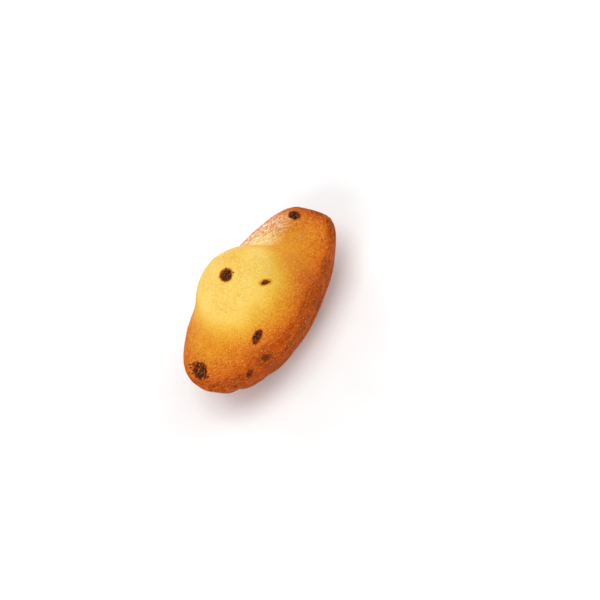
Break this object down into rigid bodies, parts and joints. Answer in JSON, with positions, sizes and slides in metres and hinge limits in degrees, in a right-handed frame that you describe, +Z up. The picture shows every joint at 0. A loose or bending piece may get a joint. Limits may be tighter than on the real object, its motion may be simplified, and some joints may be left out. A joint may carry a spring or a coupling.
{
  "type": "madeleine cake",
  "caption": "Small shell-shaped sponge cake with a round hump on top, ribs underneath and chocolate chips, for a plate, tray or shop display.",
  "frame": {"origin": "on the surface the cake rests on, under the middle of its box", "axes": "+X along the cake from its blunt hinge end to its round fan end, +Y across it, +Z up through the hump"},
  "size_m": [0.0756, 0.0456, 0.0344],
  "materials": {
    "crust": "matte",
    "chocolate": "satin"
  },
  "bodies": {
    "root": {"madeleine": "crust"}
  },
  "joints": []
}
